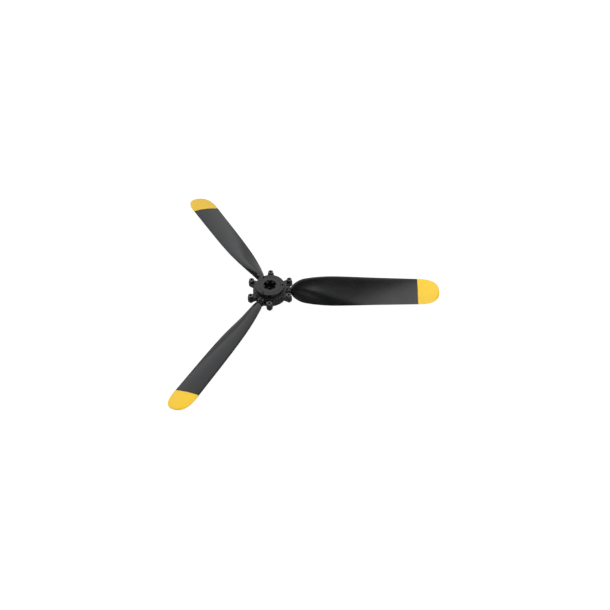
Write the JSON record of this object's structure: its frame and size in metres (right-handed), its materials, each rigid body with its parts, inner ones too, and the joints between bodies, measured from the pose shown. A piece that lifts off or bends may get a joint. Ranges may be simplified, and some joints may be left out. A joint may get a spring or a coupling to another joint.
{
  "type": "three-blade model aircraft propeller",
  "caption": "Scale-model aircraft propeller with separate pitch-adjustable blades, a two-part clamp hub, cap screws, a ribbed nut well and painted tips.",
  "frame": {"origin": "middle of the rear drive face, on the shaft axis", "axes": "+Z along the shaft, the way the propeller pulls; +X along blade 1; blades 2 and 3 follow counter-clockwise seen from the front"},
  "size_m": [0.2739, 0.313, 0.021],
  "materials": {
    "blade_nylon": "satin black glass-filled nylon, with a painted warm yellow tip",
    "hub_nylon": "satin black moulded nylon",
    "screw_steel": "black oxide steel",
    "insert_brass": "turned brass",
    "bush_bronze": "turned bronze, oiled and dull"
  },
  "bodies": {
    "hub": {"hub_front": "hub_nylon", "hub_rear": "hub_nylon", "nut_sleeve": "hub_nylon", "shaft_bush": "bush_bronze", "clamp_screw_1": "screw_steel", "clamp_screw_2": "screw_steel", "clamp_screw_3": "screw_steel", "clamp_screw_4": "screw_steel", "clamp_screw_5": "screw_steel", "clamp_screw_6": "screw_steel", "thread_insert_1": "insert_brass", "thread_insert_2": "insert_brass", "thread_insert_3": "insert_brass", "thread_insert_4": "insert_brass", "thread_insert_5": "insert_brass", "thread_insert_6": "insert_brass"},
    "blade_1": {"blade_1": "blade_nylon"},
    "blade_2": {"blade_2": "blade_nylon"},
    "blade_3": {"blade_3": "blade_nylon"}
  },
  "joints": [
    {"name": "blade_1_pitch", "type": "hinge", "parent": "hub", "child": "blade_1", "pos_m": [0.0165, 0, 0.012], "axis": [1, 0, 0], "range_deg": [-10, 10]},
    {"name": "blade_2_pitch", "type": "hinge", "parent": "hub", "child": "blade_2", "pos_m": [-0.00825, 0.01429, 0.012], "axis": [-0.5, 0.866, 0], "range_deg": [-10, 10]},
    {"name": "blade_3_pitch", "type": "hinge", "parent": "hub", "child": "blade_3", "pos_m": [-0.00825, -0.01429, 0.012], "axis": [-0.5, -0.866, 0], "range_deg": [-10, 10]}
  ]
}
